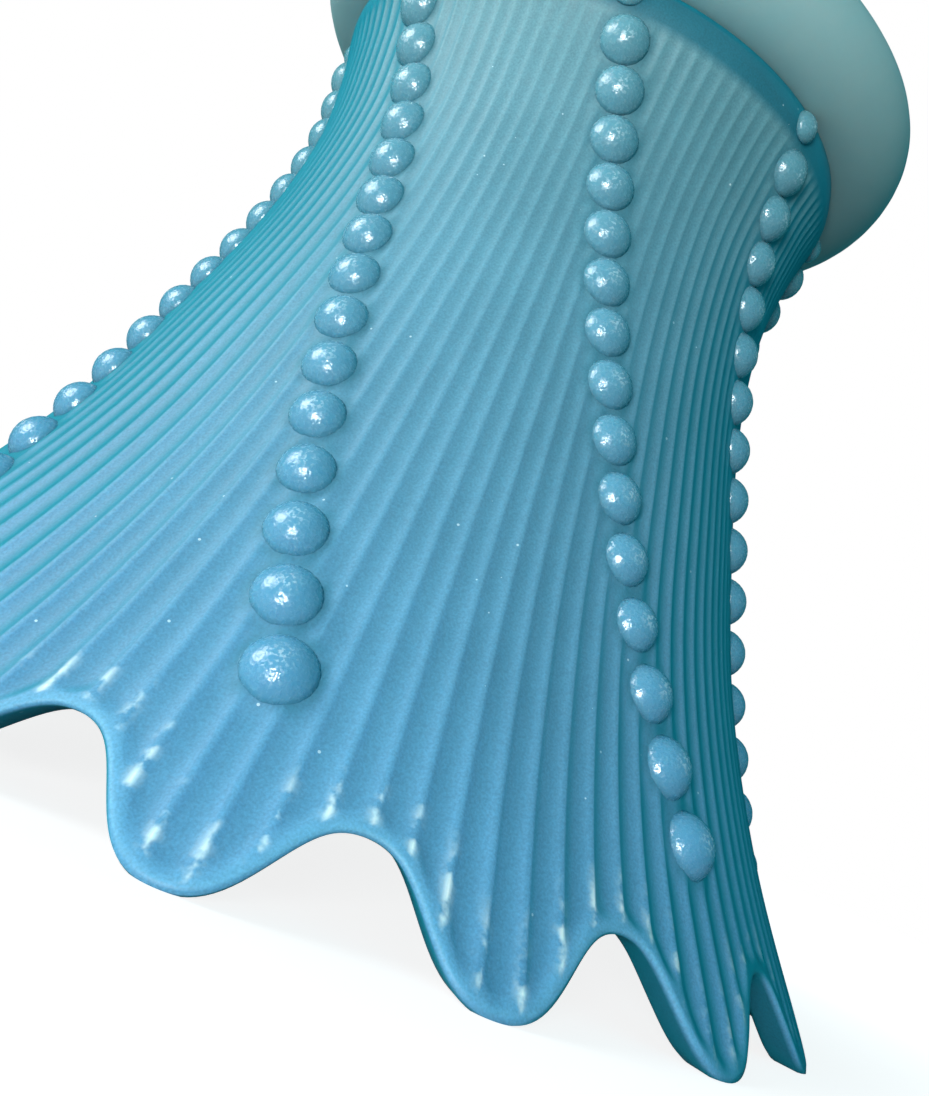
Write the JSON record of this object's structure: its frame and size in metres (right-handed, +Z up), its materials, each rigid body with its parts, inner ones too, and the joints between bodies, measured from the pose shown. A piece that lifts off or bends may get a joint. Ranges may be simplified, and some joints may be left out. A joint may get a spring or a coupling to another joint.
{
  "type": "glass lamp shade",
  "caption": "Flared blue satin-glass bell with a scalloped rim, fine ribs and leaning strings of beads, topped by a pale round fitter flange.",
  "frame": {"origin": "on the bell's axis, in the plane that the tips of the rim's lobes rest on", "axes": "+Z up the bell's axis, from the rim to the flange; -Y towards the middle of a lobe that carries a string of beads"},
  "size_m": [0.16, 0.16, 0.1328],
  "materials": {
    "blue_satin_glass": "satin opaline, deeper blue towards the rim",
    "pale_frosted_glass": "frosted, pale grey-green"
  },
  "bodies": {
    "root": {"bell": "blue_satin_glass", "fitter_flange": "pale_frosted_glass"}
  },
  "joints": []
}
